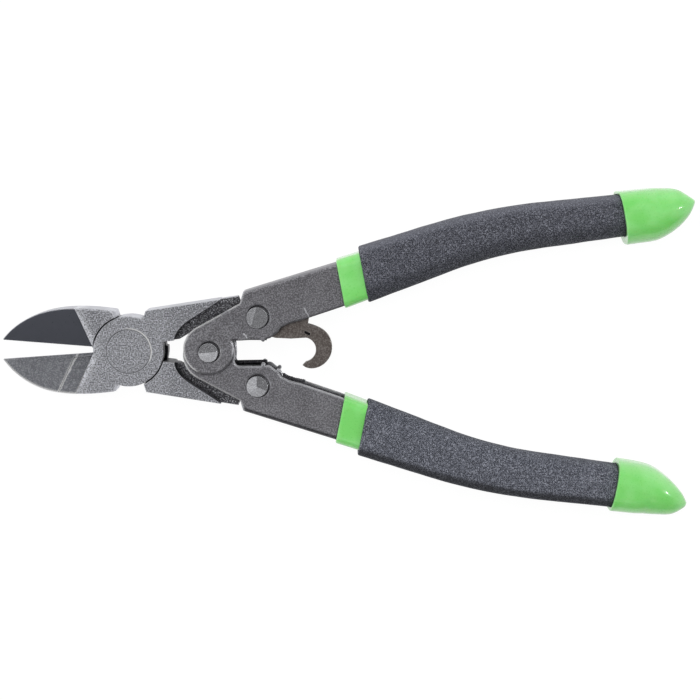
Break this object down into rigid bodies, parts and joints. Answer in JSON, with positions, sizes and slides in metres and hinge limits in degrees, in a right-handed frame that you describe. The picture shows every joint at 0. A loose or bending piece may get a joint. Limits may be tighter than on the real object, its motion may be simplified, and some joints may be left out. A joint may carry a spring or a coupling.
{
  "type": "side cutter",
  "caption": "Side cutter with compound-leverage jaws, pressed steel handles, opening spring, hook latch, dark grips and green end caps.",
  "frame": {"origin": "on the jaw pivot's axis, in the rear flat face of the joint", "axes": "+X along the tool from the jaws to the handles, +Y towards the handle that carries the hook, +Z out of the front face"},
  "size_m": [0.2499, 0.119, 0.0224],
  "materials": {
    "forged_steel": "blasted forged tool steel, satin, with a ground bevel",
    "pressed_steel": "pressed sheet steel, satin grey",
    "rivet_steel": "bright steel, hammered heads",
    "spring_steel": "dark oiled spring wire",
    "hook_steel": "sheet steel with a brown tinge",
    "green_vinyl": "glossy dipped vinyl",
    "dark_grip": "dark slate vinyl with a fine leather-like grain"
  },
  "bodies": {
    "front_jaw": {"front_jaw": "forged_steel", "joint_rivet": "forged_steel"},
    "rear_jaw": {"rear_jaw": "forged_steel"},
    "upper_handle": {"upper_handle_channel": "pressed_steel", "handle_pivot_rivet": "rivet_steel", "pivot_spacer_bush": "rivet_steel", "opening_spring": "spring_steel", "upper_arm_rivet": "rivet_steel", "upper_arm_washer": "rivet_steel", "latch_wave_washer": "spring_steel", "upper_liner": "green_vinyl", "upper_grip_sleeve": "dark_grip", "upper_end_cap": "green_vinyl"},
    "lower_handle": {"lower_handle_channel": "pressed_steel", "lower_arm_rivet": "rivet_steel", "lower_arm_washer": "rivet_steel", "lower_liner": "green_vinyl", "lower_grip_sleeve": "dark_grip", "lower_end_cap": "green_vinyl"},
    "latch": {"latch_hook": "hook_steel"}
  },
  "joints": [
    {"name": "jaw_joint", "type": "hinge", "parent": "front_jaw", "child": "rear_jaw", "pos_m": [0, 0, 0.006], "axis": [0, 0, 1], "range_deg": [0, 8.5], "stiffness_Nm_per_rad": 0.5, "springref_deg": -28.65, "deforming": ["opening_spring"]},
    {"name": "upper_handle_pivot", "type": "hinge", "parent": "front_jaw", "child": "upper_handle", "pos_m": [0.0463, 0.01247, 0.006], "axis": [0, 0, 1], "range_deg": [-6.6, 0]},
    {"name": "lower_handle_pivot", "type": "hinge", "parent": "rear_jaw", "child": "lower_handle", "pos_m": [0.0463, -0.01247, 0.006], "axis": [0, 0, 1], "range_deg": [0, 6.6]},
    {"name": "latch_pivot", "type": "hinge", "parent": "upper_handle", "child": "latch", "pos_m": [0.0463, 0.01247, 0.006], "axis": [0, 0, 1], "range_deg": [-36, 0]}
  ],
  "couplings": [
    {"joint": "upper_handle_pivot", "follows": "jaw_joint", "ratio": -0.772},
    {"joint": "lower_handle_pivot", "follows": "jaw_joint", "ratio": 0.772}
  ]
}
